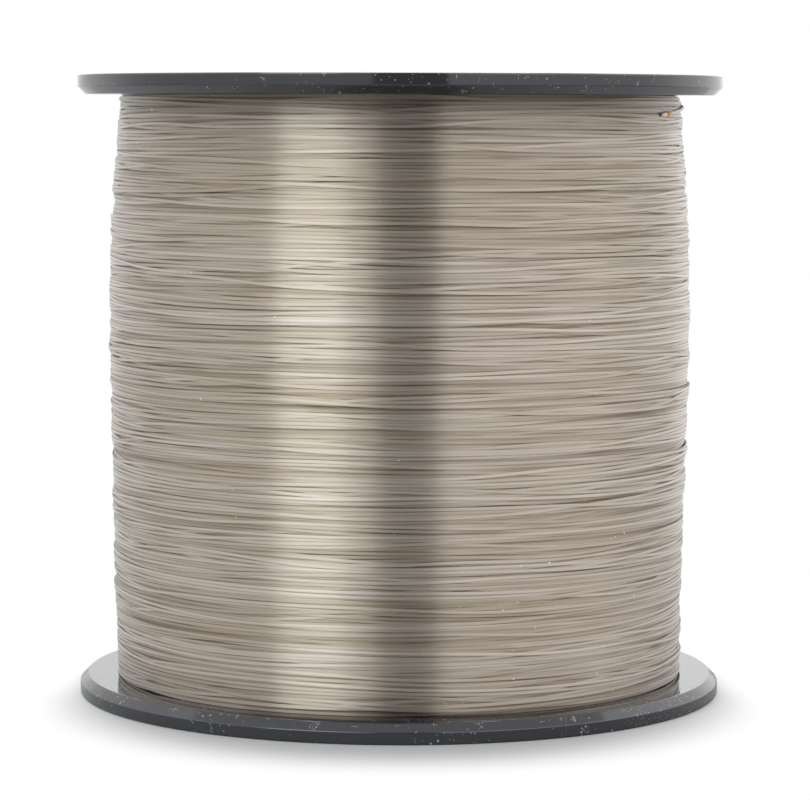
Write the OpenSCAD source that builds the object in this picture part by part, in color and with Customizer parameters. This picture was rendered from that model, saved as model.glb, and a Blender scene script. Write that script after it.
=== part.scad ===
// Bulk spool of monofilament fishing line.
// Two moulded flanges snap into a barrel. An arbor tube between their hubs guides the winder's spindle,
// and the line is wound on the barrel from flange to flange. The spool stands on its bottom flange:
// the origin is the middle of that face, and +Z runs up the spindle. Millimetres.

/* [Spool] */
// Diameter of both flanges
flange_d = 100; // [90:1:130]
// Height over both flanges
spool_h = 96; // [60:1:150]
// Thickness of a flange at its rim
flange_t = 3; // [2.4:0.1:4]
// Radial width of the bevel that lets the line slip off the inner edge
bevel_w = 1.25; // [0.8:0.05:2.6]
// Axial height of that bevel
bevel_h = 1.2; // [0.5:0.05:1.5]
// Radius that breaks the moulded edges
edge_r = 0.25; // [0.1:0.05:0.4]

/* [Outer face] */
// Width of the ring that the spool stands on
foot_w = 3.4; // [2.6:0.1:6]
// Diameter of the raised face round the bore
hub_face_d = 27; // [24:0.5:28]
// Depth of the round recess between them
recess_depth = 0.6; // [0.3:0.1:1]
// Diameter of the drive holes
drive_d = 6; // [4:0.5:7]
// Diameter of the circle that the drive holes lie on
drive_pcd = 40; // [38:1:42]
// Number of drive holes
drive_count = 3; // [1:1:3]
// Diameter of the hole that the first turn is threaded through
anchor_d = 2.2; // [1.5:0.1:3]

/* [Hub] */
// Bore for the winder's spindle
bore_d = 16; // [12:0.5:18]
// Bevel at the bore's mouth
bore_lead = 0.5; // [0.2:0.1:1]
// Thickness of the lip that keeps the arbor tube in
lip_t = 2.4; // [1.5:0.1:4]
// Wall of the arbor tube
arbor_wall = 1.5; // [1:0.1:2]
// Wall of the hub boss around the arbor tube
hub_wall = 2.2; // [1.6:0.1:3]
// Height of the hub boss above the flange's inner face
hub_h = 13; // [6:1:18]
// Number of ribs between hub and spigot
rib_count = 6; // [3:3:6]
// Thickness of a rib
rib_t = 1.6; // [1.2:0.1:2.4]

/* [Barrel] */
// Diameter that the line is wound on
barrel_d = 63; // [56:1:76]
// Wall of the barrel
barrel_wall = 2.2; // [2:0.1:3]
// Height of the collar that steadies the arbor tube halfway up
collar_h = 16; // [10:1:24]
// Wall of the collar
collar_wall = 1.8; // [1.2:0.1:2.6]
// Height of the spokes that carry the collar
spoke_h = 12; // [4:1:20]

/* [Snap fit] */
// Height of the spigot that enters the barrel
spigot_h = 9; // [7:0.5:14]
// Wall of the spigot
spigot_wall = 1.8; // [1.4:0.1:2.4]
// Number of snap tabs, and of the keys between them
latch_count = 3; // [2:1:3]
// Width of a snap tab
tab_w = 9; // [6:0.5:12]
// Width of the slots that free a tab
slot_w = 1.2; // [0.8:0.1:2]
// Height of the unslotted foot below a tab
tab_foot = 0.6; // [0.5:0.1:2]
// How far a barb stands out of its tab
barb_out = 0.6; // [0.3:0.05:0.8]
// Height of a barb
barb_h = 2; // [1.2:0.1:3]
// Width of a key, which stops the flange from turning in the barrel
key_w = 6; // [3:0.5:8]
// How far a key stands out of the spigot
key_out = 1; // [0.5:0.1:1.3]
// Height of a key
key_h = 3.5; // [2:0.5:5]

/* [Line] */
// Diameter of the line
line_d = 0.47; // [0.3:0.01:0.8]
// How far the wound line stays inside the edge of the bottom flange
fill_gap_bottom = 5.8; // [5:0.1:12]
// How far the wound line stays inside the edge of the top flange
fill_gap_top = 6.6; // [5:0.1:12]
// How far the wound line swells between the flanges
swell = 1.6; // [0:0.1:2.4]
// How far up the swelling sits: 1 is halfway, more is higher
swell_rise = 1.6; // [1:0.1:2]
// Distance of the cut end from the top flange
tail_drop = 3; // [1.5:0.1:10]
// Direction of the cut end, round the spool from +X
tail_angle = -24; // [-90:1:90]
// Angle over which the last turn lies on top of the others
tail_sweep = 76; // [20:1:100]

/* [Clearances] */
// Between a piece and the socket that it is pressed into, on each side
press_gap = 0.05; // [0.02:0.01:0.1]
// Between the arbor tube and the spider, on each side
free_gap = 0.3; // [0.15:0.05:0.5]
// Between the wound line and what it lies on
wound_gap = 0.03; // [0.01:0.01:0.1]

/* [Hidden] */
$fn = 120;
weld = 0.3; // how deep the features of one moulding run into each other
over = 1; // how far a cut runs past the face that it opens

flange_r = flange_d / 2;
bore_r = bore_d / 2;
arbor_r = bore_r + arbor_wall;
socket_r = arbor_r + press_gap;
hub_r = socket_r + hub_wall;
barrel_r = barrel_d / 2;
barrel_in_r = barrel_r - barrel_wall;
spigot_r = barrel_in_r - press_gap;
spigot_in_r = spigot_r - spigot_wall;
spigot_top = flange_t + spigot_h;
hub_top = flange_t + hub_h;
wound_h = spool_h - 2 * flange_t;

barb_top = spigot_top - 2 * edge_r;
barb_low = barb_top - barb_h;
barb_w = tab_w - 2 * weld;
key_r = spigot_r + key_out;
anchor_r = barrel_r + anchor_d;

// Ribs start at +X. Tabs, keys and drive holes lie between them.
tab_angle = 90;
key_angle = tab_angle + 180 / latch_count;
drive_angle = 30;

flange_black = [0.09, 0.09, 0.1];
core_grey = [0.2, 0.2, 0.21];
line_smoke = [0.66, 0.61, 0.55];

// ---- Shapes that repeat ----

function unit(v) = v / norm(v);

// Points of the arc of radius r that rounds corner p between its neighbours a and b
function corner_arc(a, p, b, r, steps = 4) =
    let (
        u = unit(a - p),
        v = unit(b - p),
        half = acos(u * v) / 2,
        centre = p + unit(u + v) * r / sin(half),
        from = p + u * r / tan(half) - centre,
        to = p + v * r / tan(half) - centre,
        start = atan2(from.y, from.x),
        turn = (atan2(to.y, to.x) - start + 540) % 360 - 180
    )
    [for (i = [0:steps]) centre + r * [cos(start + turn * i / steps), sin(start + turn * i / steps)]];

// Outline through corners [x, y, radius]. A corner of radius 0 stays sharp.
function rounded(corners) =
    let (n = len(corners), xy = [for (c = corners) [c.x, c.y]])
    [
        for (i = [0:n - 1])
            each corners[i].z > 0
                ? corner_arc(xy[(i + n - 1) % n], xy[i], xy[(i + 1) % n], corners[i].z)
                : [xy[i]]
    ];

// Copies round the spindle axis
module around(count, first = 0) {
    for (i = [0:count - 1])
        rotate(first + i * 360 / count) children();
}

// Profile swept round the axis over a given width, measured at radius r, and centred on +X
module sector(width, r) {
    sweep = width / r * 180 / PI;
    rotate(-sweep / 2)
        rotate_extrude(angle = sweep) children();
}

// Hollow cylinder that stands on z = 0
module ring(inner, outer, h) {
    difference() {
        cylinder(r = outer, h = h);
        translate([0, 0, -over]) cylinder(r = inner, h = h + 2 * over);
    }
}

// Turned over about Y, onto the other end of the spool. The drive holes of both ends then line up.
module turned_over() {
    translate([0, 0, spool_h]) rotate([0, 180, 0]) children();
}

// ---- Flanges: the top one is the bottom one turned over ----

// Disc, rim, hub boss and spigot in one revolved outline
module flange_body() {
    rotate_extrude()
        polygon(rounded([
            [bore_r + bore_lead, 0, 0],
            [hub_face_d / 2, 0, edge_r],
            [hub_face_d / 2, recess_depth, edge_r],
            [flange_r - foot_w, recess_depth, edge_r],
            [flange_r - foot_w, 0, edge_r],
            [flange_r, 0, edge_r],
            [flange_r, flange_t - bevel_h, edge_r],
            [flange_r - bevel_w, flange_t, edge_r],
            [spigot_r, flange_t, 0],
            [spigot_r, spigot_top, edge_r],
            [spigot_in_r, spigot_top, edge_r],
            [spigot_in_r, flange_t, edge_r],
            [hub_r, flange_t, edge_r],
            [hub_r, hub_top, edge_r],
            [socket_r, hub_top, edge_r],
            [socket_r, lip_t, 0],
            [bore_r, lip_t, 0],
            [bore_r, bore_lead, 0]
        ]));
}

// Rib that slopes from the hub boss down to the spigot
module rib() {
    translate([0, rib_t / 2, 0])
        rotate([90, 0, 0])
            linear_extrude(rib_t)
                polygon([
                    [hub_r - weld, flange_t - weld],
                    [spigot_in_r + weld, flange_t - weld],
                    [spigot_in_r + weld, flange_t + spigot_h / 2],
                    [hub_r - weld, hub_top - 2 * edge_r]
                ]);
}

// Barb on the outside of a tab: steep below, where it holds, and sloped above, where it enters
module barb() {
    sector(barb_w, spigot_r)
        polygon([
            [spigot_r - weld, barb_low],
            [spigot_r + barb_out, barb_low],
            [spigot_r + barb_out, barb_low + barb_h / 4],
            [spigot_r, barb_top],
            [spigot_r - weld, barb_top]
        ]);
}

// The two slots that free a tab from the spigot
module tab_slots() {
    half = (tab_w + slot_w) / 2 / spigot_r * 180 / PI;
    for (side = [-half, half])
        rotate(side)
            translate([spigot_in_r - over, -slot_w / 2, flange_t + tab_foot])
                cube([spigot_wall + 2 * over, slot_w, spigot_h - tab_foot + over]);
}

module key() {
    sector(key_w, key_r)
        translate([spigot_r - weld, flange_t - weld])
            square([key_out + weld, key_h + weld]);
}

// Hole through the disc, on +X
module disc_hole(r, d) {
    translate([r, 0, -over]) cylinder(d = d, h = flange_t + 2 * over);
}

module flange() {
    difference() {
        union() {
            flange_body();
            around(rib_count) rib();
            around(latch_count, tab_angle) barb();
            around(latch_count, key_angle) key();
        }
        around(latch_count, tab_angle) tab_slots();
        around(drive_count, drive_angle) disc_hole(drive_pcd / 2, drive_d);
        rotate(drive_angle) disc_hole(anchor_r, anchor_d);
    }
}

module bottom_flange() {
    color(flange_black) flange();
}

module top_flange() {
    color(flange_black) turned_over() flange();
}

// ---- Core ----

// Groove inside the barrel that the barbs click into
module barb_groove() {
    rotate_extrude()
        translate([spigot_in_r, barb_low - press_gap])
            square([spigot_r + barb_out + 2 * press_gap - spigot_in_r, barb_h + 2 * press_gap]);
}

// Pocket in the barrel's end that a key drops into
module key_pocket() {
    sector(key_w + 2 * press_gap, key_r)
        translate([spigot_in_r, flange_t - over])
            square([key_r + press_gap - spigot_in_r, key_h + press_gap + over]);
}

// What one end of the barrel needs to take a flange
module end_cuts() {
    barb_groove();
    around(latch_count, key_angle) key_pocket();
}

// Collar and spokes that steady the arbor tube halfway up
module spider() {
    collar_in_r = arbor_r + free_gap;
    collar_r = collar_in_r + collar_wall;
    translate([0, 0, (spool_h - collar_h) / 2]) ring(collar_in_r, collar_r, collar_h);
    around(rib_count)
        translate([collar_r - weld, -rib_t / 2, (spool_h - spoke_h) / 2])
            cube([barrel_in_r - collar_r + 2 * weld, rib_t, spoke_h]);
}

module barrel() {
    color(core_grey)
        difference() {
            union() {
                translate([0, 0, flange_t]) ring(barrel_in_r, barrel_r, wound_h);
                spider();
            }
            end_cuts();
            turned_over() end_cuts();
        }
}

module arbor_tube() {
    low = lip_t + press_gap;
    high = spool_h - low;
    color(core_grey)
        rotate_extrude()
            polygon(rounded([
                [bore_r, low, edge_r],
                [arbor_r, low, edge_r],
                [arbor_r, high, edge_r],
                [bore_r, high, edge_r]
            ]));
}

// ---- Line ----

// Radius of the wound line at a share u of the way from the bottom flange to the top one
function wound_r(u) =
    flange_r - fill_gap_bottom + (fill_gap_bottom - fill_gap_top) * u
    + swell * sin(180 * pow(u, swell_rise));

// The wound line, as the outer shape of its turns
module line_pack() {
    steps = 30;
    low = flange_t + wound_gap;
    high = spool_h - low;
    color(line_smoke)
        rotate_extrude()
            polygon([
                [barrel_r + wound_gap, low],
                for (i = [0:steps]) [wound_r(i / steps), low + (high - low) * i / steps],
                [barrel_r + wound_gap, high]
            ]);
}

// Middle of the last turn, at a share t of its way out from under the top turns to its cut end
function tail_point(t) =
    let (
        angle = tail_angle + tail_sweep * (1 - t),
        z = spool_h - flange_t - tail_drop + line_d * (1 - t),
        r = wound_r((z - flange_t) / wound_h) + line_d / 2 + 2 * wound_gap
    )
    [r * cos(angle), r * sin(angle), z];

// Corners of a slice across the last turn, square to the way it runs
function tail_slice(t, sides) =
    let (
        along = unit(tail_point(t + 0.01) - tail_point(t - 0.01)),
        out = unit(cross(along, [0, 0, 1])),
        up = cross(out, along),
        step = 360 / sides
    )
    [
        for (i = [0:sides - 1])
            tail_point(t) + line_d / 2 * (out * cos(i * step) + up * sin(i * step))
    ];

// The free end of the line, laid over the turns below it
module line_end() {
    sides = 8;
    slices = 48;
    color(line_smoke)
        polyhedron(
            points = [for (k = [0:slices]) each tail_slice(k / slices, sides)],
            faces = [
                [for (i = [0:sides - 1]) i],
                for (k = [0:slices - 1]) for (i = [0:sides - 1])
                    let (j = (i + 1) % sides, a = k * sides, b = a + sides)
                        [a + i, b + i, b + j, a + j],
                [for (i = [sides - 1:-1:0]) slices * sides + i]
            ]
        );
}

bottom_flange();
top_flange();
barrel();
arbor_tube();
line_pack();
line_end();
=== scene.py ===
import math

import bpy
import numpy as np
from mathutils import Matrix, Vector


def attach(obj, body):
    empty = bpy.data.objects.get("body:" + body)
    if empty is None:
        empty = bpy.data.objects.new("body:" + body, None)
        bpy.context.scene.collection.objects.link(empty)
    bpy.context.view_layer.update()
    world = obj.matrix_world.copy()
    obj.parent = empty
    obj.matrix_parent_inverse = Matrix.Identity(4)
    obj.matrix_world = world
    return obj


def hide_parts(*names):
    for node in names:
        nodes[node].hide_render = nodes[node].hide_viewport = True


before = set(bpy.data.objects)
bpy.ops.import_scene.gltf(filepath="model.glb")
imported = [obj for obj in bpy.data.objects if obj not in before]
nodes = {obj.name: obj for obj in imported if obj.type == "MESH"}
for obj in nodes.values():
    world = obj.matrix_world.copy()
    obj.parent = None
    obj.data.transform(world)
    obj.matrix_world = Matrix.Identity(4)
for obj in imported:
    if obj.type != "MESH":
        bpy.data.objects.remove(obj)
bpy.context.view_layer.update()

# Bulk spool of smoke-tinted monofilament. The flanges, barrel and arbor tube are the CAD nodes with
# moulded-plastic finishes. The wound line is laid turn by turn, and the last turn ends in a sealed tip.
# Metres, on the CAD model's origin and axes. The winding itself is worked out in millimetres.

MM = 0.001
SPOOL_H = 96.0
FLANGE_R = 50.0
FLANGE_T = 3.0
BARREL_R = 31.5
LINE_R = 0.235
WOUND_GAP = 0.03                        # between the wound line and the barrel or a flange
WOUND_LOW = FLANGE_T + WOUND_GAP
WOUND_HIGH = SPOOL_H - WOUND_LOW

FILLED_TO = 5.8                         # from the bottom flange's edge in to the winding
FILLED_LESS = 0.8                       # and how much more from the top one's
SWELLING, SWELLING_UP = 1.6, 1.6        # how far it swells, and the power that moves the fullest place up
FULLER_AT, FULLER_HALF, FULLER = 0.2, 0.15, 0.16           # where one side is fuller, how far, how much

TAIL_END = math.radians(-27)            # direction of the cut end, round from +X
TAIL_SWEEP = math.radians(79)           # angle over which the last turn lies on top of the others
TAIL_Z = SPOOL_H - FLANGE_T - 3.0       # height of the cut end
TAIL_LIFT = 0.06                        # how far the last turn lies above its bed
SPRUNG_AT, SPRUNG_HALF, SPRUNG = 11, 5, 0.1        # it springs up: from the tip, half length, height
BEAD_AT, BEAD_HALF, BEAD_MORE = 2.8, 0.9, 0.7      # the sealed bead: from the tip, half length, growth
TIP_AT, TIP_HALF, TIP_MORE = 0.9, 1.0, 0.2         # and the same for the melted tip
CLOSED_IN = 0.4                                    # length over which the tip closes
PALE_TO = 2.4                                      # length of the pale tip


# ---- Meshes ----

def add_mesh(name, points, quads, caps=(), values=None):
    """A smooth-shaded mesh object at the origin, from points in millimetres, an array of quads and a
    list of end polygons. values maps the name of a point attribute to its array."""
    mesh = bpy.data.meshes.new(name)
    mesh.vertices.add(len(points))
    mesh.vertices.foreach_set("co", (np.asarray(points) * MM).astype(np.float32).ravel())
    corners = np.concatenate([quads.ravel(), *caps]).astype(np.int32)
    sizes = np.array([4] * len(quads) + [len(c) for c in caps], dtype=np.int32)
    mesh.loops.add(len(corners))
    mesh.loops.foreach_set("vertex_index", corners)
    mesh.polygons.add(len(sizes))
    mesh.polygons.foreach_set("loop_start", (np.cumsum(sizes) - sizes).astype(np.int32))
    mesh.update(calc_edges=True)
    mesh.shade_smooth()
    for key, array in (values or {}).items():
        mesh.attributes.new(key, "FLOAT", "POINT").data.foreach_set("value", array.astype(np.float32))
    piece = bpy.data.objects.new(name, mesh)
    bpy.context.scene.collection.objects.link(piece)
    return piece


def grid_quads(rows, columns, wrap_rows=False):
    """Quads between neighbouring points of a grid of rows and columns. Columns always wrap round."""
    i, j = np.meshgrid(np.arange(rows if wrap_rows else rows - 1), np.arange(columns), indexing="ij")
    i2, j2 = (i + 1) % rows, (j + 1) % columns
    corners = [i * columns + j, i * columns + j2, i2 * columns + j2, i2 * columns + j]
    return np.stack(corners, -1).reshape(-1, 4)


def round_points(r, angle, z):
    """Points at a radius and an angle round the spool's axis and at a height: r times the angle's cosine,
    r times its sine, and z."""
    return np.stack([r * np.cos(angle), r * np.sin(angle), np.broadcast_to(z, r.shape)], -1)


# ---- The winding ----

TURN = 128                              # stations in a turn
STATIONS = np.arange(TURN)
STATION_ANGLE = TAIL_END + TAIL_SWEEP + 2 * np.pi * (TURN - 1 - STATIONS) / TURN
SLOT = 0.047                            # height of a column of the relief, which is the pack's surface
COLUMNS = int(round((WOUND_HIGH - WOUND_LOW) / SLOT)) + 1
REACH = np.arange(-4, 5)                # columns that a line covers
CROWN = np.sqrt(LINE_R ** 2 - (REACH * SLOT) ** 2)         # and how high its back stands in them
Z_LOW, Z_HIGH = WOUND_LOW + LINE_R, WOUND_HIGH - LINE_R    # the line's middle, up against a flange
OLD_TURNS, DRAWN_TURNS, PIECES = 500, 640, 8
SEED = 11

PITCH_LEAST, PITCH_MOST = 1.5, 15.0     # how far the guide goes in a turn
SWAYS, SWAY = 16, 0.45                  # waves in the operator's wander, and how far it goes
SWAY_SLOW, SWAY_QUICK, SWAY_FADE = 0.05, 2.0, 0.6          # these waves in a turn, and where they weaken
MOVED_DOWN, MOVED_UP = 0.35, 0.2        # how far the guide's path is moved to either flange
FIRST_WAVES, FIRST_SWELL = 20, 0.07     # waves of the surface under the first turn, and their height
SLIDES = np.linspace(-0.42, 0.42, 15)   # how far up or down a turn may slide
SLIDE_COST = 0.22                       # depth that a slide of 1 mm has to gain
SLIDE_SHARP = 0.012                     # height that makes a place e times less wanted
BED_EVENED = 4.0                        # stations, the spread of the blur that evens heights
CARRIED = 12                            # stations of the last turn that a slide is joined to
JOINED = np.exp(-STATIONS / 6)          # how the last turn's slide fades into the next one
PULL = np.exp(-0.5 * (np.arange(-9, 10) / 2.6) ** 2)       # how a taut line spreads a slide along it
PULL /= PULL.sum()
SAG = 0.003                             # how far below its neighbours' mean a taut line may lie
LEVEL_UNDER = 0.1                       # how far the pack's evened height lies under wound_r
PRESSED = 0.17                          # share of a crest that is left in the finished pack
SWELLS_LEFT = 0.35                      # and of the swellings a few lines wide
CREST_NEAR = 0.9                        # a turn's depth is measured from the highest line this close
CORE_UNDER = 0.05                       # how far the core lies under the older turns' surface

ARC = np.radians([-78, -50, -17, 17, 50, 78, 135, 225])    # corners of an outer turn's outline, 0 outward
BACK, HALF_UP = 0.055, 0.25             # how far its back stands out, and half its height
ARC_OUT = np.where(np.cos(ARC) > 0, BACK, LINE_R) * np.cos(ARC)
ARC_UP = HALF_UP * np.sin(ARC)


def wound_r(u):
    """Radius of the wound line at a share u of the way from the bottom flange to the top one: a straight
    run between the two filling heights, plus a swelling shaped as the sine of u to the power 1.6."""
    return FLANGE_R - FILLED_TO - FILLED_LESS * u + SWELLING * np.sin(np.pi * u ** SWELLING_UP)


def blurred_round(array, stations):
    """Gaussian blur round the spool (first axis), worked out on the array's waves: each is multiplied by
    the Gaussian's own share at its frequency."""
    share = np.exp(-2 * (np.pi * np.fft.rfftfreq(len(array)) * stations) ** 2)
    share = share.reshape([-1] + [1] * (array.ndim - 1))
    return np.fft.irfft(np.fft.rfft(array, axis=0) * share, len(array), axis=0)


def blurred_up(array, columns):
    """Gaussian blur up the spool (last axis), with the end values carried on past the flanges."""
    reach = int(4 * columns)
    kernel = np.exp(-0.5 * (np.arange(-reach, reach + 1) / columns) ** 2)
    padded = np.pad(array, [(0, 0), (reach, reach)], mode="edge")
    size = padded.shape[1] + len(kernel) - 1
    wave = np.fft.rfft(padded, size, axis=1) * np.fft.rfft(kernel / kernel.sum(), size)
    return np.fft.irfft(wave, size, axis=1)[:, 2 * reach:2 * reach + array.shape[1]]


def highest_near(relief, columns):
    """Highest point of the relief within a few columns up or down."""
    best = relief.copy()
    for step in range(1, columns + 1):
        best[:, step:] = np.maximum(best[:, step:], relief[:, :-step])
        best[:, :-step] = np.maximum(best[:, :-step], relief[:, step:])
    return best


def guide_path(turns, draw):
    """Height of the winder's guide at every station. It goes up and down between the flanges, each pass at
    a pitch of its own, and ends at the top. It wanders as an operator's hand does, by a sum of slow sine
    waves. Where that would take it past a flange, it turns back instead. Then the path is moved down and
    up a little and stopped at the flange each time, so that turns gather at the winding's two ends."""
    time = np.arange(turns * TURN) / TURN
    ends, height = [float(turns)], [1.0]
    while ends[-1] > 0:
        pitch = math.exp(draw.uniform(math.log(PITCH_LEAST), math.log(PITCH_MOST)))
        ends.append(ends[-1] - (Z_HIGH - Z_LOW) / pitch)
        height.append(1 - height[-1])
    z = Z_LOW + (Z_HIGH - Z_LOW) * np.interp(time, ends[::-1], height[::-1])
    sway = np.zeros_like(time)
    for _ in range(SWAYS):
        rate = math.exp(draw.uniform(math.log(SWAY_SLOW), math.log(SWAY_QUICK)))
        sway += draw.normal() / (1 + rate / SWAY_FADE) * np.sin(2 * np.pi * (rate * time + draw.uniform()))
    z = Z_LOW + (abs(z + SWAY * sway / sway.std() - Z_LOW) - MOVED_DOWN).clip(0)
    return Z_HIGH - (abs(Z_HIGH - z) - MOVED_UP).clip(0)


def columns_under(z):
    """Indices of the relief's columns under a line whose middle is at height z."""
    middle = np.rint((z - WOUND_LOW) / SLOT).astype(int)
    return np.clip(middle[..., None] + REACH, 0, COLUMNS - 1)


def pulled_tight(touch):
    """Radius of a taut turn, evened four times: the larger of what it touches and the mean of five
    neighbouring stations less the sag."""
    radius = touch
    for _ in range(4):
        ring = np.pad(radius, 2, mode="wrap")
        mean = (ring[:-4] + ring[1:-3] + ring[2:-2] + ring[3:-1] + ring[4:]) / 5
        radius = np.maximum(touch, mean - SAG)
    return radius


def first_relief(draw):
    """The surface under the first turn: a sum of sine waves, 6 to 22 mm long up the spool, some of which
    wind round it once or twice."""
    up = np.arange(COLUMNS) * SLOT
    relief = np.zeros((TURN, COLUMNS))
    for _ in range(FIRST_WAVES):
        wave, lobes = draw.uniform(6, 22), draw.integers(0, 3)
        swing = np.sin(2 * np.pi * (up / wave + draw.uniform() + lobes * STATIONS[:, None] / TURN))
        relief += FIRST_SWELL * draw.normal() * swing
    return relief


def wind_line(turns, draw):
    """Lays the line turn by turn on a relief of the pack. Each turn follows the guide, but slides up to a
    line's width up or down to where it lies deepest, and then becomes part of the relief. The slide is the
    mean of all slides, each weighed by the exponential of minus its height and cost. It is joined to the
    last turn's and spread along the line. Gives height and radius at every station, and the relief before
    and after the turns that are drawn."""
    guide = guide_path(turns, draw).reshape(turns, TURN)
    relief = first_relief(draw)
    slide = np.zeros(TURN)
    heights, radii, before = np.empty((turns, TURN)), np.empty((turns, TURN)), None
    for k in range(turns):
        if k == turns - DRAWN_TURNS:
            before = relief.copy()
        z = np.clip(guide[k][:, None] + SLIDES, Z_LOW, Z_HIGH)
        touch = (relief[STATIONS[:, None, None], columns_under(z)] + CROWN).max(2)
        cost = blurred_round(touch, BED_EVENED) + SLIDE_COST * SLIDES ** 2
        weight = np.exp(-(cost - cost.min(1, keepdims=True)) / SLIDE_SHARP)
        wanted = (weight * SLIDES).sum(1) / weight.sum(1)
        wanted += (slide[-1] - wanted[0]) * JOINED
        run = np.concatenate([slide[-CARRIED:], wanted, np.full(CARRIED, wanted[-1])])
        slide = np.convolve(run, PULL, "same")[CARRIED:-CARRIED]
        heights[k] = np.clip(guide[k] + slide, Z_LOW, Z_HIGH)
        place = (STATIONS[:, None], columns_under(heights[k]))
        radii[k] = pulled_tight((relief[place] + CROWN).max(1))
        relief[place] = np.maximum(relief[place], radii[k][:, None] + CROWN)
    return heights, radii, before, relief


def even_height(relief):
    """Height of the relief's crests, evened out over a line or two, and the height that it has in the
    finished pack: that of wound_r, a little fuller low down on the -X side, with a third of the swellings
    a few lines wide left."""
    wide = blurred_up(blurred_round(highest_near(relief, 5), BED_EVENED), 0.45 / SLOT)
    u = np.arange(COLUMNS) / (COLUMNS - 1)
    fuller = np.exp(-((u - FULLER_AT) / FULLER_HALF) ** 2) * (1 - np.cos(STATION_ANGLE[:, None]))
    shape = wound_r(u) - LEVEL_UNDER + FULLER * fuller
    return wide, shape + SWELLS_LEFT * (wide - blurred_up(wide, 2 / SLOT))


def at_stations(field, z):
    """Reads a field of the relief's shape at the height z of each station, between its columns."""
    place = np.clip((z - WOUND_LOW) / SLOT, 0, COLUMNS - 1.001)
    low = place.astype(int)
    share = place - low
    row = np.broadcast_to(STATIONS, z.shape) if z.shape[-1] == TURN else np.arange(z.shape[-1])
    return field[row, low] * (1 - share) + field[row, low + 1] * share


def settled(crest, wide, level):
    """Radius of a crest in the finished pack. Turns press into the ones below them, so what stands out of
    the evened height is less than the line's stiff section would give."""
    return level + PRESSED * (crest - wide)


def line_piece(name, angle, radius, z, outward, upward, **values):
    """Line along a path given by angle, radius and height at its stations: at every station an outline in
    the plane through the spool's axis, given by how far its points lie outward and upward, joined to the
    next, with closed ends. The flanges' faces flatten it where it touches them. The attribute flank says
    how far up or down from the line's middle a point lies, where 1 is the line's half thickness."""
    points = round_points(radius[:, None] + outward, angle[:, None],
                          np.clip(z[:, None] + upward, WOUND_LOW, WOUND_HIGH))
    count, sides = points.shape[:2]
    ends = [np.arange(sides)[::-1], (count - 1) * sides + np.arange(sides)]
    values = {key: np.repeat(array, sides) for key, array in values.items()}
    values["flank"] = (abs(points[..., 2] - z[:, None]) / LINE_R).ravel()
    return add_mesh(name, points.reshape(-1, 3), grid_quads(count, sides), ends, values)


def core_ring(relief):
    """The older turns as one closed ring: the relief that the drawn turns lie on outside, and the
    barrel's surface inside, joined by flat ends."""
    pick = np.unique(np.append(np.arange(0, COLUMNS, 4), COLUMNS - 1))
    inside = np.full((TURN, 1), BARREL_R + WOUND_GAP)
    r = np.concatenate([inside, relief[:, pick] - CORE_UNDER, inside], 1).T
    z = WOUND_LOW + SLOT * np.concatenate([pick[:1], pick, pick[-1:]])
    points = round_points(r, STATION_ANGLE, z[:, None])
    return add_mesh("line_core", points.reshape(-1, 3), grid_quads(len(z), TURN, wrap_rows=True)[:, ::-1])


def tail_piece(relief, wide, level, start_z):
    """The last turn, laid over the others from start_z to the tip's height, slowly at first. It lies on
    what it touches, evened over seven stations, and springs up a little before the tip. There its radius
    swells into a bead where a flame sealed it, by the exponential of minus the fourth power of the distance
    from the bead's middle, and once more at the tip, and closes as the square root of the distance left."""
    count = int(round(TAIL_SWEEP / (2 * np.pi) * TURN)) + 1
    share = np.linspace(0, 1, count)
    z = start_z + (TAIL_Z - start_z) * share ** 1.8
    touch = (relief[np.arange(count)[:, None], columns_under(z)] + CROWN).max(1)
    around = np.pad(touch, 3, mode="edge")
    smooth = np.maximum(touch, sum(around[k:k + count] for k in range(7)) / 7)
    r = settled(smooth, at_stations(wide, z), at_stations(level, z)) + TAIL_LIFT
    fine = np.linspace(0, 1, 8 * (count - 1) + 1)
    angle = TAIL_END + TAIL_SWEEP * (1 - fine)
    r, z = np.interp(fine, share, r), np.interp(fine, share, z)
    to_tip = (1 - fine) * TAIL_SWEEP * r[-1]
    bead = np.exp(-((to_tip - BEAD_AT) / BEAD_HALF) ** 4)
    tip = np.exp(-((to_tip - TIP_AT) / TIP_HALF) ** 2)
    closing = np.sqrt(np.clip(to_tip / CLOSED_IN, 0.02, 1))
    thick = LINE_R * closing * (1 + BEAD_MORE * bead + TIP_MORE * tip)
    r = r + SPRUNG * np.exp(-((to_tip - SPRUNG_AT) / SPRUNG_HALF) ** 2) + (thick - LINE_R).clip(0)
    round_it = np.arange(16) * 2 * np.pi / 16
    outward, upward = thick[:, None] * np.cos(round_it), thick[:, None] * np.sin(round_it)
    return line_piece("line_tail", angle, r, z, outward, upward,
                      along=to_tip * MM, depth=0 * to_tip, to_tip=to_tip)


draw = np.random.default_rng(SEED)
heights, radii, before, after = wind_line(OLD_TURNS + DRAWN_TURNS, draw)
wide, level = even_height(after)
crest = highest_near(after, int(CREST_NEAR / SLOT))

drawn_z, drawn_r = heights[OLD_TURNS:], radii[OLD_TURNS:]
line_depth = (at_stations(crest, drawn_z) - drawn_r - LINE_R).ravel()
line_r = (settled(drawn_r + LINE_R, at_stations(wide, drawn_z), at_stations(level, drawn_z)) - BACK).ravel()
line_z = drawn_z.ravel()
line_angle = np.tile(STATION_ANGLE, DRAWN_TURNS)
line_along = np.cumsum(line_r) * 2 * np.pi / TURN * MM

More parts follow.
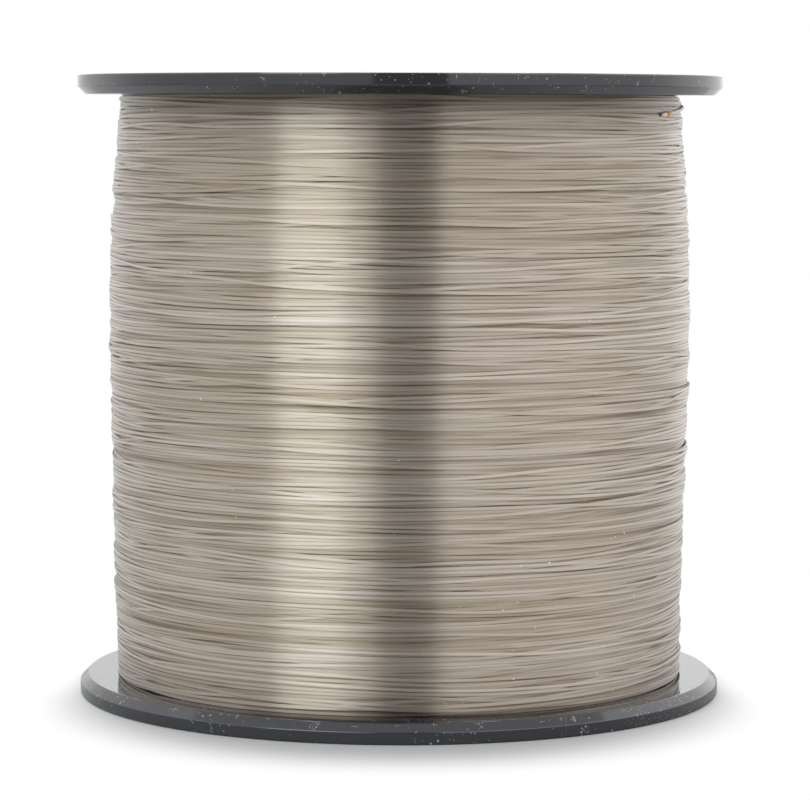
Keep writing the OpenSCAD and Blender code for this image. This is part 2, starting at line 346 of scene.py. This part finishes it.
line_pieces = []
ends = np.linspace(0, len(line_z) - 1, PIECES + 1).astype(int)
for number, (a, b) in enumerate(zip(ends[:-1], ends[1:] + 1), 1):
    line_pieces.append(line_piece(f"line_turns_{number}", line_angle[a:b], line_r[a:b], line_z[a:b],
                                  ARC_OUT, ARC_UP, along=line_along[a:b], depth=line_depth[a:b]))
core = core_ring(settled(before, wide, level))
tail = tail_piece(after, wide, level, heights[-1, -1])

for piece in [core, *line_pieces]:
    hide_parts("line_pack")
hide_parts("line_end")
for piece in [core, tail, *line_pieces]:
    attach(piece, "root")


# ---- Finishes ----

STYRENE_BLACK, STYRENE_CLOUD = (0.028, 0.028, 0.032), (0.036, 0.036, 0.040)
STYRENE_GREY, STYRENE_FLOW = (0.024, 0.024, 0.026), (0.038, 0.038, 0.040)
STYRENE_SCRATCH, STYRENE_GLOSS = (0.20, 0.20, 0.20), (0.91, 0.92, 1.0, 1.0)
STYRENE_IOR, NYLON_IOR = 1.59, 1.53
POLISH_DEPTH, GROOVE_DEPTH = 0.00003, 0.0002
MIDDLE_Z = SPOOL_H / 2 * MM
RECESS_R, RECESS_Z = 0.0465, 0.0472     # nearer the axis and further up or down from the middle than this

DUST_ON_BLACK, DUST_ON_GREY, DUST_ON_LINE = (0.46, 0.45, 0.43), (0.30, 0.29, 0.27), (0.8, 0.78, 0.74)
DRIFTS, LINTS, LINT_PATCHES = 45.0, 380.0, 700.0           # waves per metre
DUST_LEAST, DUST_MORE = 0.05, 0.09      # dust and lint on the clean parts of the flanges,
LINT_LEAST, LINT_MORE = 0.14, 0.06      # and how much more on the others
CAUGHT_AT = (0.0385, -0.0275, 0.003)    # where fine dust has caught on the bottom flange

LINE_OLIVE, LINE_ROSE, LINE_PALE = (0.400, 0.346, 0.269), (0.414, 0.342, 0.287), (0.560, 0.497, 0.441)
# Second row: painted shade in the depths of the pack and on the lines' flanks, and a pale painted sheen for
# where the winding is seen at a slant.
LINE_DEPTH_SHADE, LINE_FLANK_SHADE, LINE_SHEEN = (0.227, 0.171, 0.113), (0.15, 0.098, 0.04), (0.95, 0.92, 0.87)
OLDER_LINE, OLDER_PALE = (0.30, 0.25, 0.19), (0.40, 0.34, 0.27)
TIP_PALE, TIP_SCORCHED = (0.60, 0.55, 0.47), (0.44, 0.22, 0.04)
LINE_METAL, LINE_ROUGH, EVENED = 0.8, 0.38, 0.78
FLANK_SHADE, DEPTH_SHADE = 0.36, 0.34                        # painted shade on the flanks and in the depths, where the winding is seen straight on
FLANK_SLANT_SHADE, DEPTH_SLANT_SHADE, SLANT_SHEEN = 1.5, 0.8, 0.42      # what its slanted edges add to that painted shade, and the painted sheen on the backs
# Painted shade next to the flanges: height of each flange's inner face, the way from it to the line, the
# share of light that the painted shade takes off there, and the distance over which that fades.
FLANGE_SHADES = ((0.093, -1.0, 0.36, 0.007), (0.003, 1.0, 0.25, 0.0025))


def put(tree, kind, inputs=None, **settings):
    """Adds a node. inputs maps a socket's name or number to a value, or to the output that feeds it."""
    made = tree.nodes.new("ShaderNode" + kind)
    for key, value in settings.items():
        setattr(made, key, value)
    for key, value in (inputs or {}).items():
        if isinstance(value, bpy.types.NodeSocket):
            tree.links.new(value, made.inputs[key])
        else:
            made.inputs[key].default_value = value
    return made


def calc(tree, kind, a, b=0.0, c=0.0, clamp=False):
    """Output of a Math node on a, b and c. clamp keeps it between 0 and 1."""
    return put(tree, "Math", {0: a, 1: b, 2: c}, operation=kind, use_clamp=clamp).outputs[0]


def slope(tree, value, times, plus):
    """value times a number, plus a number, kept between 0 and 1."""
    return calc(tree, "MULTIPLY_ADD", value, times, plus, clamp=True)


def vector(tree, kind, a, b=(0.0, 0.0, 0.0)):
    """Vector output of a Vector Math node on a and b."""
    return put(tree, "VectorMath", {0: a, 1: b}, operation=kind).outputs[0]


def scaled(tree, value, scale):
    """A vector or colour times a number."""
    return put(tree, "VectorMath", {0: value, "Scale": scale}, operation="SCALE").outputs[0]


def to_world(tree, value, kind):
    """A vector or normal on the object's axes, given on the world's."""
    return put(tree, "VectorTransform", {0: value}, vector_type=kind, convert_from="OBJECT",
               convert_to="WORLD").outputs[0]


def blend(tree, share, a, b):
    """Colour between a and b."""
    a, b = (value if isinstance(value, bpy.types.NodeSocket) else (*value, 1) for value in (a, b))
    return put(tree, "Mix", {"Factor": share, 6: a, 7: b}, data_type="RGBA").outputs[2]


def noise(tree, place, scale, detail=2.0):
    """Noise between about 0 and 1. scale counts waves per metre."""
    return put(tree, "TexNoise", {"Vector": place, "Scale": scale, "Detail": detail}).outputs[0]


def object_place(tree):
    """Place on the object, in metres from the origin."""
    return put(tree, "TexCoord").outputs["Object"]


def from_axis(tree, x, y):
    """Distance from the spool's axis: the square root of x times x plus y times y."""
    return calc(tree, "SQRT", calc(tree, "MULTIPLY_ADD", x, x, calc(tree, "MULTIPLY", y, y)))


def attribute(tree, name):
    """Value of a mesh's point attribute."""
    return put(tree, "Attribute", attribute_name=name, attribute_type="GEOMETRY").outputs["Fac"]


def new_group(name, inputs, outputs):
    """An empty node group with number or vector inputs, given with their defaults, and number outputs."""
    group = bpy.data.node_groups.new(name, "ShaderNodeTree")
    for key, default in inputs.items():
        kind = "NodeSocketVector" if default is None else "NodeSocketFloat"
        socket = group.interface.new_socket(key, in_out="INPUT", socket_type=kind)
        if default is not None:
            socket.default_value = default
    for key in outputs:
        group.interface.new_socket(key, in_out="OUTPUT", socket_type="NodeSocketFloat")
    return group, group.nodes.new("NodeGroupInput").outputs, group.nodes.new("NodeGroupOutput").inputs


def dust_group():
    """Specks and lint that have settled on a surface. Specks are cells of a Voronoi pattern whose random
    value is over a limit, each a blob of its own size, and lie in drifts, which Drift makes wider. Lint is
    the thin contour line of a noise, kept in patches only, and a Lint of minus 1 leaves it off."""
    group, given, result = new_group("settled_dust", {"Place": None, "Grains": 900.0, "Amount": 0.1,
                                                      "Drift": 0.0, "Lint": 0.1}, ["Dust"])
    place = given["Place"]
    bent = put(group, "TexNoise", {"Vector": place, "Scale": 2500.0, "Detail": 1.0}).outputs["Color"]
    moved = vector(group, "ADD", place, scaled(group, bent, 0.0003))
    cells = put(group, "TexVoronoi", {"Vector": moved, "Scale": given["Grains"]}).outputs
    chance = put(group, "SeparateColor", {0: cells["Color"]}).outputs
    drift = calc(group, "MULTIPLY_ADD", noise(group, place, DRIFTS, 1.0), 9.0, -4.3)
    drift = calc(group, "ADD", drift, given["Drift"], clamp=True)
    limit = calc(group, "MULTIPLY", given["Amount"], drift)
    kept = calc(group, "GREATER_THAN", chance["Red"], calc(group, "SUBTRACT", 1.0, limit))
    size = calc(group, "MULTIPLY_ADD", chance["Green"], 0.28, 0.12)
    blob = calc(group, "MULTIPLY", calc(group, "SUBTRACT", size, cells["Distance"]), 9.0, clamp=True)
    speck = calc(group, "MULTIPLY", blob, kept)
    wave = noise(group, place, LINTS, 3.0)
    thin = slope(group, calc(group, "ABSOLUTE", calc(group, "SUBTRACT", wave, 0.5)), -90.0, 1.0)
    patch = noise(group, place, LINT_PATCHES, 0.0)
    patch = calc(group, "GREATER_THAN", patch, calc(group, "SUBTRACT", 0.85, given["Lint"]))
    lint = calc(group, "MULTIPLY", thin, patch)
    group.links.new(calc(group, "MAXIMUM", speck, lint), result["Dust"])
    return group


def scuff_group():
    """Hairline scratches: the narrow bands of a stretched and bent noise, in two directions, each kept in
    patches."""
    group, given, result = new_group("hairlines", {"Place": None, "Fineness": 1400.0}, ["Scratch"])
    lines = []
    for turn in (0.5, 2.1):
        turned = put(group, "Mapping", {"Vector": given["Place"], "Rotation": (0.2, turn, turn),
                                        "Scale": (1.0, 0.05, 0.05)}).outputs[0]
        wave = put(group, "TexNoise", {"Vector": turned, "Scale": given["Fineness"], "Detail": 1.0,
                                       "Distortion": 0.4}).outputs[0]
        lines.append(slope(group, wave, 16.0, -11.5))
    patch = slope(group, noise(group, given["Place"], 60.0), 5.0, -2.2)
    group.links.new(calc(group, "MULTIPLY", calc(group, "MAXIMUM", *lines), patch), result["Scratch"])
    return group


DUST, SCUFF = dust_group(), scuff_group()


def grouped(tree, group, inputs):
    """Output of a placed node group."""
    return put(tree, "Group", inputs, node_tree=group).outputs[0]


def new_finish(name):
    """A material with an empty node tree, its tree, and its output node's surface socket."""
    finish = bpy.data.materials.new(name)
    finish.use_nodes = True
    finish.node_tree.nodes.clear()
    return finish, finish.node_tree, put(finish.node_tree, "OutputMaterial").inputs["Surface"]


def flange_dust(tree, place, clean):
    """Dust and lint on the flanges, less of both where clean is 1, and fine dust that lies thickest round
    the place where it has caught."""
    amount = calc(tree, "MULTIPLY_ADD", clean, -DUST_MORE, DUST_LEAST + DUST_MORE)
    lint = calc(tree, "MULTIPLY_ADD", clean, -LINT_MORE, LINT_LEAST + LINT_MORE)
    dust = grouped(tree, DUST, {"Place": place, "Grains": 1900.0, "Amount": amount, "Lint": lint})
    caught = put(tree, "VectorMath", {0: place, 1: CAUGHT_AT}, operation="DISTANCE").outputs["Value"]
    caught = slope(tree, caught, -90.0, 1.2)
    amount = calc(tree, "MULTIPLY_ADD", caught, 0.45, 0.12)
    fine = grouped(tree, DUST, {"Place": place, "Grains": 3600.0, "Amount": amount, "Lint": -1.0,
                                "Drift": calc(tree, "MULTIPLY", caught, 5.0)})
    return calc(tree, "MAXIMUM", dust, fine)


def flange_finish():
    """Glossy black polystyrene: faintly wavy from the mould, hairline scratches, dust and lint. The round
    recess of the outer faces is spark-textured, so it is duller and finely pitted. The recess and the
    upper flange are cleaner."""
    finish, tree, surface = new_finish("gloss_black_styrene")
    place = object_place(tree)
    x, y, z = put(tree, "SeparateXYZ", {0: place}).outputs
    from_middle = calc(tree, "ABSOLUTE", calc(tree, "SUBTRACT", z, MIDDLE_Z))
    in_recess = calc(tree, "MULTIPLY", calc(tree, "LESS_THAN", from_axis(tree, x, y), RECESS_R),
                     calc(tree, "GREATER_THAN", from_middle, RECESS_Z))
    clean = calc(tree, "MAXIMUM", in_recess, calc(tree, "GREATER_THAN", z, MIDDLE_Z))
    dust = flange_dust(tree, place, clean)
    scratch = grouped(tree, SCUFF, {"Place": place, "Fineness": 1500.0})
    cloud = noise(tree, place, 90.0, 4.0)
    colour = blend(tree, cloud, STYRENE_BLACK, STYRENE_CLOUD)
    colour = blend(tree, calc(tree, "MULTIPLY", scratch, 0.12), colour, STYRENE_SCRATCH)
    colour = blend(tree, calc(tree, "MULTIPLY", dust, 0.7), colour, DUST_ON_BLACK)
    rough = calc(tree, "MULTIPLY_ADD", cloud, 0.08, 0.05)
    rough = calc(tree, "MULTIPLY_ADD", in_recess, 0.26, rough)
    rough = calc(tree, "MULTIPLY_ADD", calc(tree, "MAXIMUM", dust, scratch), 0.3, rough)
    pits = put(tree, "TexVoronoi", {"Vector": place, "Scale": 5200.0}).outputs["Distance"]
    waves = calc(tree, "MULTIPLY_ADD", noise(tree, place, 420.0), 0.5, dust)
    height = calc(tree, "MULTIPLY_ADD", calc(tree, "MULTIPLY", pits, in_recess), 0.5, waves)
    bump = put(tree, "Bump", {"Strength": 0.35, "Distance": POLISH_DEPTH, "Height": height}).outputs[0]
    shader = put(tree, "BsdfPrincipled", {"Base Color": colour, "Roughness": rough, "IOR": STYRENE_IOR,
                                          "Normal": bump, "Specular Tint": STYRENE_GLOSS})
    tree.links.new(shader.outputs[0], surface)
    return finish


def core_finish():
    """Satin dark grey polystyrene with faint flow marks, scratches and dust."""
    finish, tree, surface = new_finish("satin_grey_styrene")
    place = object_place(tree)
    flow = put(tree, "Mapping", {"Vector": place, "Scale": (1.0, 1.0, 0.25)}).outputs[0]
    flow = noise(tree, flow, 120.0, 3.0)
    dust = grouped(tree, DUST, {"Place": place, "Grains": 700.0, "Amount": 0.06, "Lint": 0.24})
    scratch = grouped(tree, SCUFF, {"Place": place, "Fineness": 1100.0})
    colour = blend(tree, flow, STYRENE_GREY, STYRENE_FLOW)
    worn = calc(tree, "MULTIPLY", calc(tree, "MAXIMUM", dust, scratch), 0.4)
    colour = blend(tree, worn, colour, DUST_ON_GREY)
    rough = calc(tree, "MULTIPLY_ADD", flow, 0.16, 0.34)
    height = calc(tree, "MULTIPLY_ADD", noise(tree, place, 2600.0), 0.5, flow)
    bump = put(tree, "Bump", {"Strength": 0.4, "Distance": POLISH_DEPTH, "Height": height}).outputs[0]
    shader = put(tree, "BsdfPrincipled", {"Base Color": colour, "Roughness": rough, "IOR": STYRENE_IOR,
                                          "Normal": bump})
    tree.links.new(shader.outputs[0], surface)
    return finish


def evened_normal(tree, place):
    """The line's own normal, evened towards straight out from the spool's axis."""
    outward = vector(tree, "NORMALIZE", vector(tree, "MULTIPLY", place, (1.0, 1.0, 0.0)))
    own = put(tree, "TexCoord").outputs["Normal"]
    evened = vector(tree, "ADD", scaled(tree, outward, EVENED), scaled(tree, own, 1 - EVENED))
    return to_world(tree, evened, "NORMAL")


def noise_along(tree, along, scale, detail, roughness):
    """Noise that changes along the line only. scale counts waves per metre."""
    return put(tree, "TexNoise", {"W": along, "Scale": scale, "Detail": detail, "Roughness": roughness},
               noise_dimensions="1D").outputs[0]


def line_tint(tree, place, evened, drift, shade):
    """Tint of the line: it goes from olive to rose with drift and gets paler with shade. A painted shade
    turns it brown in the depths of the pack and on the line's flanks, by the sixth power of how far up or
    down they lie. Where the winding is seen at a slant, that painted shade is darker and the backs get a
    pale painted sheen. Next to the flanges a painted shade darkens it, by an exponential of the distance."""
    slant = put(tree, "LayerWeight", {"Blend": 0.5, "Normal": evened}).outputs["Facing"]
    slant = calc(tree, "POWER", slant, 2.0)
    colour = blend(tree, slope(tree, drift, 2.4, -0.7), LINE_OLIVE, LINE_ROSE)
    colour = blend(tree, slope(tree, shade, 3.9, -1.45), colour, LINE_PALE)
    # Painted shade in the depths of the pack, more where the winding is seen at a slant.
    deep_shade = calc(tree, "MULTIPLY_ADD", slant, DEPTH_SLANT_SHADE, DEPTH_SHADE)
    deep_shade = calc(tree, "MULTIPLY", attribute(tree, "depth"), deep_shade, clamp=True)
    # Painted shade on the line's flanks, between neighbouring lines, more where the winding is seen at a
    # slant.
    flank = calc(tree, "MULTIPLY_ADD", slant, FLANK_SLANT_SHADE, FLANK_SHADE)
    flank = calc(tree, "MULTIPLY", calc(tree, "POWER", attribute(tree, "flank"), 6.0), flank, clamp=True)
    colour = blend(tree, deep_shade, colour, LINE_DEPTH_SHADE)
    # A pale painted sheen where the winding is seen at a slant.
    colour = blend(tree, calc(tree, "MULTIPLY", slant, SLANT_SHEEN), colour, LINE_SHEEN)
    colour = blend(tree, flank, colour, LINE_FLANK_SHADE)
    # Painted shade next to the flanges, taken off the colour.
    light, height = 1.0, put(tree, "SeparateXYZ", {0: place}).outputs["Z"]
    for face, away, loss, reach in FLANGE_SHADES:
        off = calc(tree, "MULTIPLY", calc(tree, "SUBTRACT", height, face), away / reach)
        lost = calc(tree, "MULTIPLY", calc(tree, "EXPONENT", calc(tree, "MULTIPLY", off, -1.0)), loss)
        light = calc(tree, "MULTIPLY", light, calc(tree, "SUBTRACT", 1.0, lost))
    return scaled(tree, colour, light)


def line_finish(name, sealed=False):
    """Smoke-tinted nylon. Light enters the clear line and comes back out tinted, spread up and down by the
    line's round section but hardly at all along it, so it is given as a tinted gloss that is rough up and
    down and nearly sharp along the line. sealed adds the scorched bead and the pale tip."""
    finish, tree, surface = new_finish(name)
    place = object_place(tree)
    evened = evened_normal(tree, place)
    along = attribute(tree, "along")
    shade = noise_along(tree, along, 0.8, 3.0, 0.85)
    colour = line_tint(tree, place, evened, noise_along(tree, along, 2.6, 2.0, 0.5), shade)
    if sealed:
        to_tip = attribute(tree, "to_tip")
        scorched = calc(tree, "ABSOLUTE", calc(tree, "SUBTRACT", to_tip, BEAD_AT))
        colour = blend(tree, calc(tree, "LESS_THAN", to_tip, PALE_TO), colour, TIP_PALE)
        colour = blend(tree, slope(tree, scorched, -3.0, 3.3), colour, TIP_SCORCHED)
    dust = grouped(tree, DUST, {"Place": place, "Grains": 1900.0, "Amount": 0.01, "Lint": -1.0})
    colour = blend(tree, calc(tree, "MULTIPLY", dust, 0.7), colour, DUST_ON_LINE)
    rough = calc(tree, "MULTIPLY_ADD", shade, 0.06, LINE_ROUGH)
    shader = put(tree, "BsdfPrincipled", {"Base Color": colour, "Roughness": rough, "Metallic": LINE_METAL,
                                          "IOR": NYLON_IOR, "Anisotropic": 1.0, "Normal": evened,
                                          "Tangent": to_world(tree, (0, 0, 1), "VECTOR")})
    tree.links.new(shader.outputs[0], surface)
    return finish


def core_line_finish():
    """The older turns, seen only between the outer ones: brown, with the grooves of line on line."""
    finish, tree, surface = new_finish("deep_line")
    place = object_place(tree)
    grooves = put(tree, "Mapping", {"Vector": place, "Scale": (0.03, 0.03, 1.0)}).outputs[0]
    grooves = noise(tree, grooves, 2100.0, 1.0)
    colour = blend(tree, grooves, OLDER_LINE, OLDER_PALE)
    bump = put(tree, "Bump", {"Strength": 0.6, "Distance": GROOVE_DEPTH, "Height": grooves}).outputs[0]
    shader = put(tree, "BsdfPrincipled", {"Base Color": colour, "Roughness": 0.4, "Metallic": 0.7,
                                          "Normal": bump})
    tree.links.new(shader.outputs[0], surface)
    return finish


def wear(piece, finish):
    """Gives a piece its one finish."""
    piece.data.materials.clear()
    piece.data.materials.append(finish)


black, grey, smoke = flange_finish(), core_finish(), line_finish("smoke_nylon")
for name in ("bottom_flange", "top_flange"):
    wear(nodes[name], black)
for name in ("barrel", "arbor_tube"):
    wear(nodes[name], grey)
for piece in line_pieces:
    wear(piece, smoke)
wear(core, core_line_finish())
wear(tail, line_finish("smoke_nylon_sealed", sealed=True))


# ---- Floor, light and camera ----

FILL = 0.35                             # light from the world, where 1 is white
FLOOR_IN, FLOOR_OUT, FLOOR_Z = 49.4, 340, -0.03
FLOOR_RINGS, FLOOR_SIDES, FLOOR_GREY = 12, 96, 0.63
FADE_FROM, FADE_WIDTH = 0.0452, 0.009                      # the floor's fade to white, from the axis,
FADE_FROM_AHEAD, FADE_WIDTH_AHEAD = 0.0073, 0.0125         # and how much more of both straight in front

WALL_R, WALL_FOOT, WALL_H, WALL_SIDES = 1500, -500, 2200, 72
WALL_LEFT, WALL_RIGHT = 0.78, 1.09
WALL_LOW_Z, WALL_HIGH_Z, WALL_LOWER, WALL_UPPER = -0.4, 0.9, 0.4, 2.5
# Place on the wall, from straight behind the spool round by the left, its level there, and how much of
# the change from floor to top it has.
WALL_STEPS = ((0.0, 1.0, 1.0), (0.09, 1.0, 0.0), (0.16, 1.2, 0.0), (0.24, WALL_LEFT, 1.0),
              (0.5, WALL_LEFT, 1.0), (0.54, WALL_RIGHT, 1.0), (0.76, WALL_RIGHT, 1.0), (0.82, 1.48, 0.2),
              (0.9, 1.35, 0.0), (1.0, 1.0, 1.0))
DARK_LEFT, DARK_RIGHT, DARK_Y, DARK_LOW, DARK_HIGH = -160.0, 285.0, -1000.0, -500.0, 1600.0
DARK_LEVEL = 0.15

LENS, SENSOR = 151.2, 36.0
CAMERA_AT = (0, -0.5313, 0.09092)
CAMERA_ASIDE, CAMERA_DOWN, CAMERA_ROLL = -0.00162, 0.0855, 0.0025


def looked_at(tree):
    """1 for rays that carry what the camera, a gloss or clear plastic sees, FILL for rays that carry
    light."""
    ray = put(tree, "LightPath").outputs
    seen = calc(tree, "MAXIMUM", ray["Is Camera Ray"],
                calc(tree, "MAXIMUM", ray["Is Glossy Ray"], ray["Is Transmission Ray"]))
    return calc(tree, "MULTIPLY_ADD", seen, 1 - FILL, FILL)


def floor_finish():
    """Matt paper that can be seen through from below. The camera sees it fade into the white world away
    from the spool, over a band that is further out and wider in front, where the shadow falls. ahead is
    minus y over the distance from the axis: 1 straight in front, and 0 at the sides and behind."""
    finish, tree, surface = new_finish("white_paper")
    matt = put(tree, "BsdfDiffuse", {"Color": (FLOOR_GREY, FLOOR_GREY, FLOOR_GREY, 1)})
    x, y = put(tree, "SeparateXYZ", {0: object_place(tree)}).outputs[:2]
    r = from_axis(tree, x, y)
    ahead = calc(tree, "MAXIMUM", calc(tree, "DIVIDE", y, calc(tree, "MULTIPLY", r, -1.0)), 0.0)
    width = calc(tree, "MULTIPLY_ADD", ahead, FADE_WIDTH_AHEAD, FADE_WIDTH)
    start = calc(tree, "MULTIPLY_ADD", calc(tree, "MULTIPLY", ahead, ahead), FADE_FROM_AHEAD, FADE_FROM)
    far = calc(tree, "DIVIDE", calc(tree, "SUBTRACT", r, start), width)
    far = put(tree, "MapRange", {"Value": far}, interpolation_type="SMOOTHSTEP").outputs[0]
    far = calc(tree, "MULTIPLY", far, put(tree, "LightPath").outputs["Is Camera Ray"])
    white = put(tree, "Emission", {"Strength": 1.0})
    paper = put(tree, "MixShader", {0: far, 1: matt.outputs[0], 2: white.outputs[0]})
    back = put(tree, "NewGeometry").outputs["Backfacing"]
    clear = put(tree, "BsdfTransparent")
    shown = put(tree, "MixShader", {0: back, 1: paper.outputs[0], 2: clear.outputs[0]})
    tree.links.new(shown.outputs[0], surface)
    return finish


def add_floor():
    """A round table, whose rings widen outwards, each by the same factor. It is open in the middle, so that
    the spool's underside gets light."""
    radii = np.geomspace(FLOOR_IN, FLOOR_OUT, FLOOR_RINGS)[:, None]
    angle = np.arange(FLOOR_SIDES) * 2 * np.pi / FLOOR_SIDES
    points = round_points(radii + 0 * angle, angle, FLOOR_Z).reshape(-1, 3)
    floor = add_mesh("floor", points, grid_quads(FLOOR_RINGS, FLOOR_SIDES)[:, ::-1])
    wear(floor, floor_finish())


def add_lamp(name, azimuth, elevation, distance, width, height, radiance, colour=(1, 1, 1)):
    """A soft box that faces the spool. azimuth is 0 in front of it and grows to the right, and radiance is
    how bright the box itself looks, where 1 is white."""
    a, e = math.radians(azimuth), math.radians(elevation)
    out = Vector((math.sin(a) * math.cos(e), -math.cos(a) * math.cos(e), math.sin(e)))
    lamp = bpy.data.lights.new(name, "AREA")
    lamp.shape, lamp.size, lamp.size_y = "RECTANGLE", width, height
    lamp.energy, lamp.color = radiance * math.pi * width * height, colour
    box = bpy.data.objects.new(name, lamp)
    box.location = Vector((0, 0, MIDDLE_Z)) + out * distance
    box.rotation_euler = out.to_track_quat("Z", "Y").to_euler()
    bpy.context.scene.collection.objects.link(box)


def add_screen(name, points, quads, strength):
    """A screen or wall of the studio, which the camera doesn't see. strength is a number, or a function
    that makes it in the material's tree: how bright the wall looks, where 1 is white."""
    screen = add_mesh(name, points, quads)
    finish, tree, surface = new_finish(name)
    level = strength(tree) if callable(strength) else strength
    glow = put(tree, "Emission", {"Strength": calc(tree, "MULTIPLY", level, looked_at(tree))})
    tree.links.new(glow.outputs[0], surface)
    wear(screen, finish)
    screen.visible_camera = False


def wall_level(tree):
    """Grey walls at both sides, lighter on the right, and the white backdrop behind. The walls and the
    backdrop's middle are lighter towards the top and darker towards the floor, by a smooth step, and the
    backdrop's sides aren't."""
    x, y, z = put(tree, "SeparateXYZ", {0: object_place(tree)}).outputs
    azimuth = calc(tree, "ARCTAN2", x, calc(tree, "MULTIPLY", y, -1.0))
    ramp = put(tree, "ValToRGB", {0: calc(tree, "MULTIPLY_ADD", azimuth, 0.5 / math.pi, 0.5)})
    steps = ramp.color_ramp.elements
    for place, bright, graded in WALL_STEPS:
        step = steps[0] if place == 0 else steps[-1] if place == 1 else steps.new(place)
        step.color = (bright, graded, 0, 1)
    level = put(tree, "SeparateColor", {0: ramp.outputs[0]}).outputs
    upper = put(tree, "MapRange", {"Value": z, "From Min": WALL_LOW_Z, "From Max": WALL_HIGH_Z,
                                   "To Min": WALL_LOWER, "To Max": WALL_UPPER},
                interpolation_type="SMOOTHSTEP").outputs[0]
    upper = calc(tree, "MULTIPLY_ADD", calc(tree, "SUBTRACT", upper, 1.0), level["Green"], 1.0)
    return calc(tree, "MULTIPLY", level["Red"], upper)


def add_walls():
    """The studio's walls, as an open ring round the spool."""
    angle = np.arange(WALL_SIDES) * 2 * np.pi / WALL_SIDES
    points = round_points(WALL_R + 0 * angle, angle, WALL_FOOT)
    points = np.concatenate([points, points + [0, 0, WALL_H]])
    add_screen("walls", points, grid_quads(2, WALL_SIDES)[:, ::-1], wall_level)


def add_dark_room():
    """The unlit room in front, behind the camera, as one upright panel."""
    points = np.array([[DARK_LEFT, DARK_Y, DARK_LOW], [DARK_RIGHT, DARK_Y, DARK_LOW],
                       [DARK_RIGHT, DARK_Y, DARK_HIGH], [DARK_LEFT, DARK_Y, DARK_HIGH]])
    add_screen("dark_room", points, np.array([[3, 2, 1, 0]]), DARK_LEVEL)


def add_world():
    """White where it is looked at, and a plain fill as light."""
    world = bpy.data.worlds.new("studio")
    bpy.context.scene.world = world
    world.use_nodes = True
    tree = world.node_tree
    tree.nodes.clear()
    sky = put(tree, "Background", {"Color": (1, 1, 1, 1), "Strength": looked_at(tree)})
    out = put(tree, "OutputWorld")
    tree.links.new(sky.outputs[0], out.inputs["Surface"])


def add_camera():
    """A long lens a little below the top flange's face, looking slightly down."""
    lens = bpy.data.cameras.new("camera")
    lens.lens, lens.sensor_width = LENS, SENSOR
    camera = bpy.data.objects.new("camera", lens)
    aside, roll = Matrix.Rotation(CAMERA_ASIDE, 4, "Z"), Matrix.Rotation(CAMERA_ROLL, 4, "Z")
    down = Matrix.Rotation(math.pi / 2 - CAMERA_DOWN, 4, "X")
    camera.matrix_world = Matrix.Translation(CAMERA_AT) @ aside @ down @ roll
    bpy.context.scene.collection.objects.link(camera)
    bpy.context.scene.camera = camera


add_floor()
add_walls()
add_dark_room()
add_lamp("soft_box_left", azimuth=-35.5, elevation=34, distance=0.95, width=0.46, height=1.0,
         radiance=2.9, colour=(0.905, 1.0, 1.0))
add_lamp("soft_box_top", azimuth=180, elevation=76, distance=0.9, width=0.6, height=0.4, radiance=6.0)
add_world()
add_camera()
bpy.context.scene.view_settings.view_transform = "Standard"
